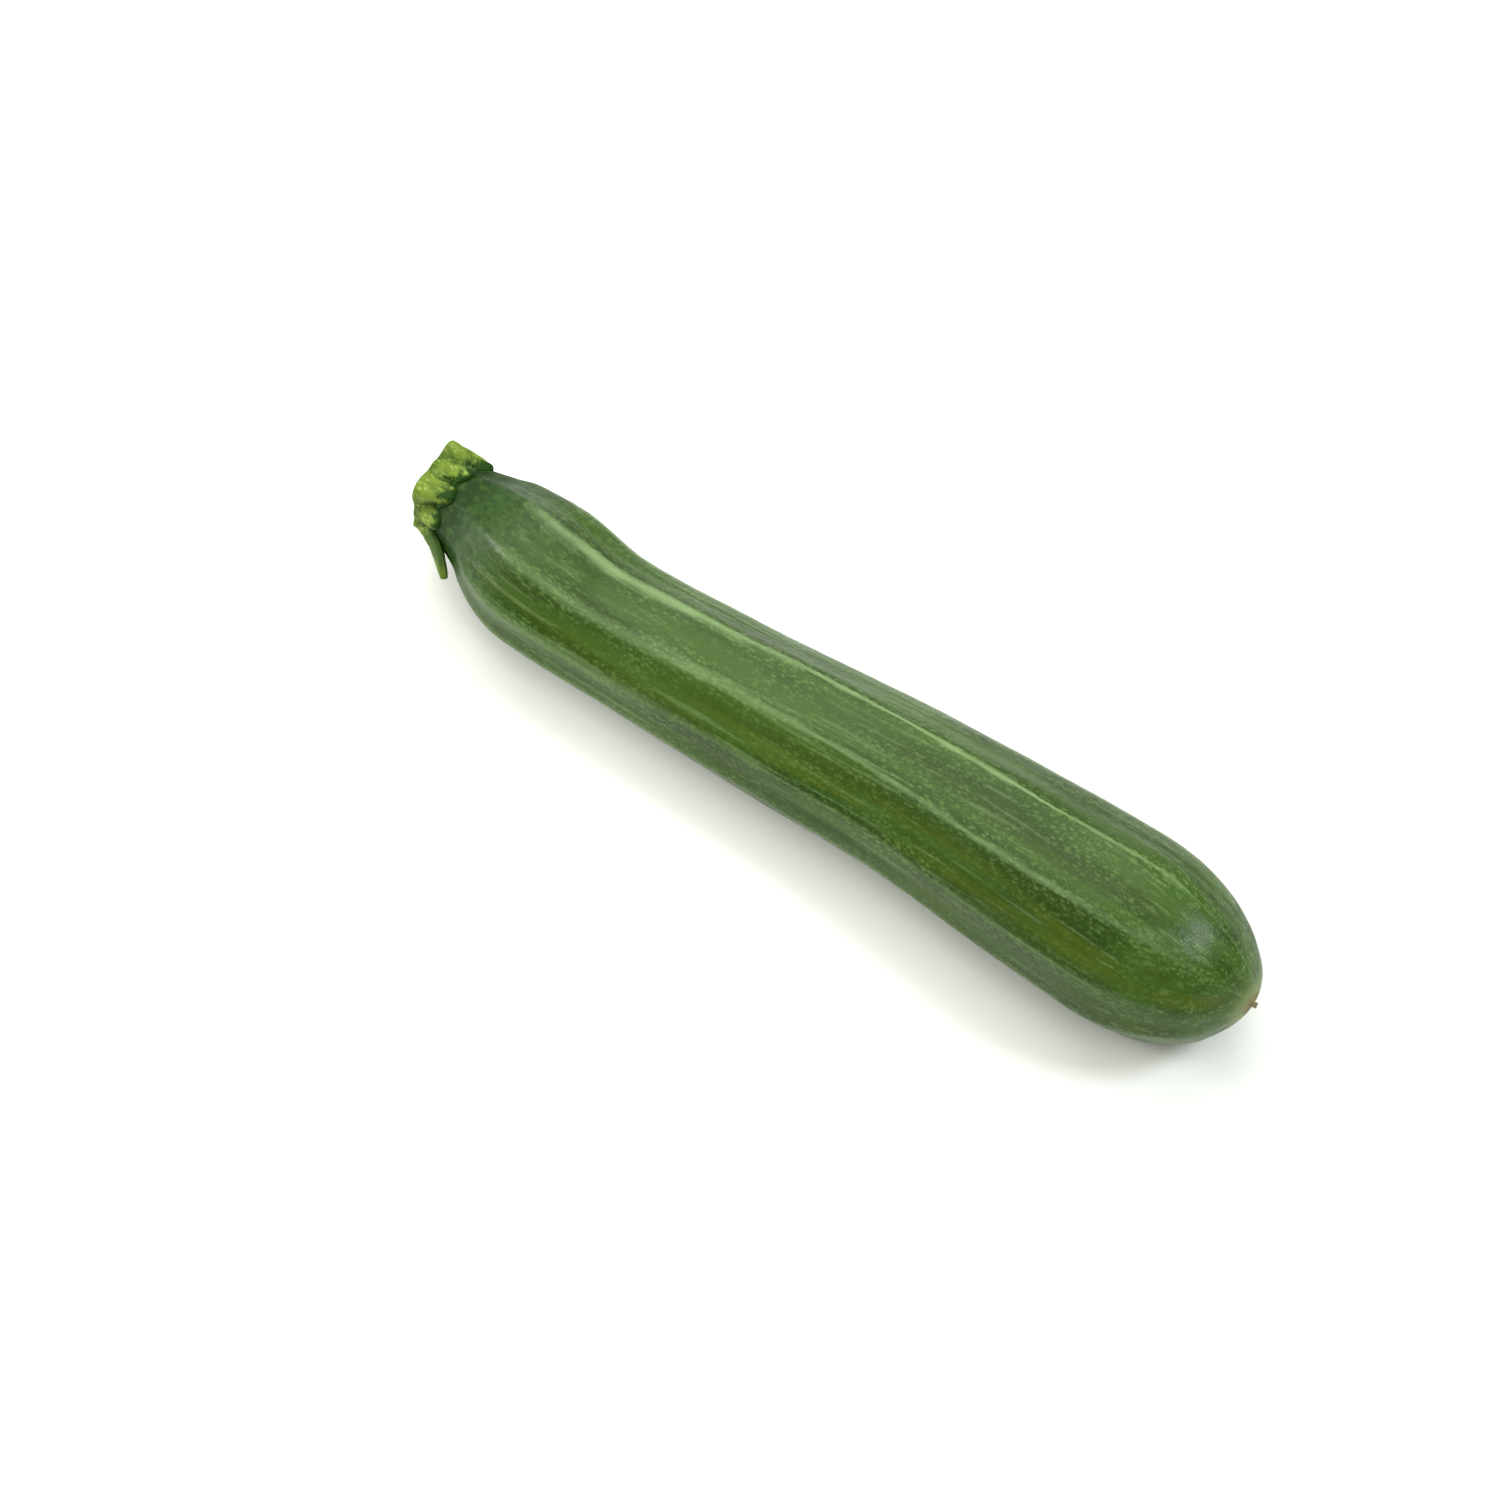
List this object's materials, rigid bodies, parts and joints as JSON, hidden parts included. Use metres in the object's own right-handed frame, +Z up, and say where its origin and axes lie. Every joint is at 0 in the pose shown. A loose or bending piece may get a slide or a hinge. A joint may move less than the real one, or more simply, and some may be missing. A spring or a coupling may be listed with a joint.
{
  "type": "zucchini",
  "caption": "Whole fresh zucchini lying on its belly: a ridged dark green fruit, thicker towards the blossom end, with the short ribbed stub of its cut stem.",
  "frame": {"origin": "middle of the bounding box in x and y, on the surface that the zucchini lies on", "axes": "+X along the zucchini from the cut stem to the blossom end, +Y to the left of that, +Z up"},
  "size_m": [0.2112, 0.041, 0.0393],
  "materials": {
    "green_skin": "smooth waxy vegetable skin, mid to dark green with fine paler speckles and pale lines along the ridges",
    "pale_stem": "matt, slightly hairy yellow-green stem with a moist pale cut face"
  },
  "bodies": {
    "root": {"fruit": "green_skin", "stem": "pale_stem"}
  },
  "joints": []
}
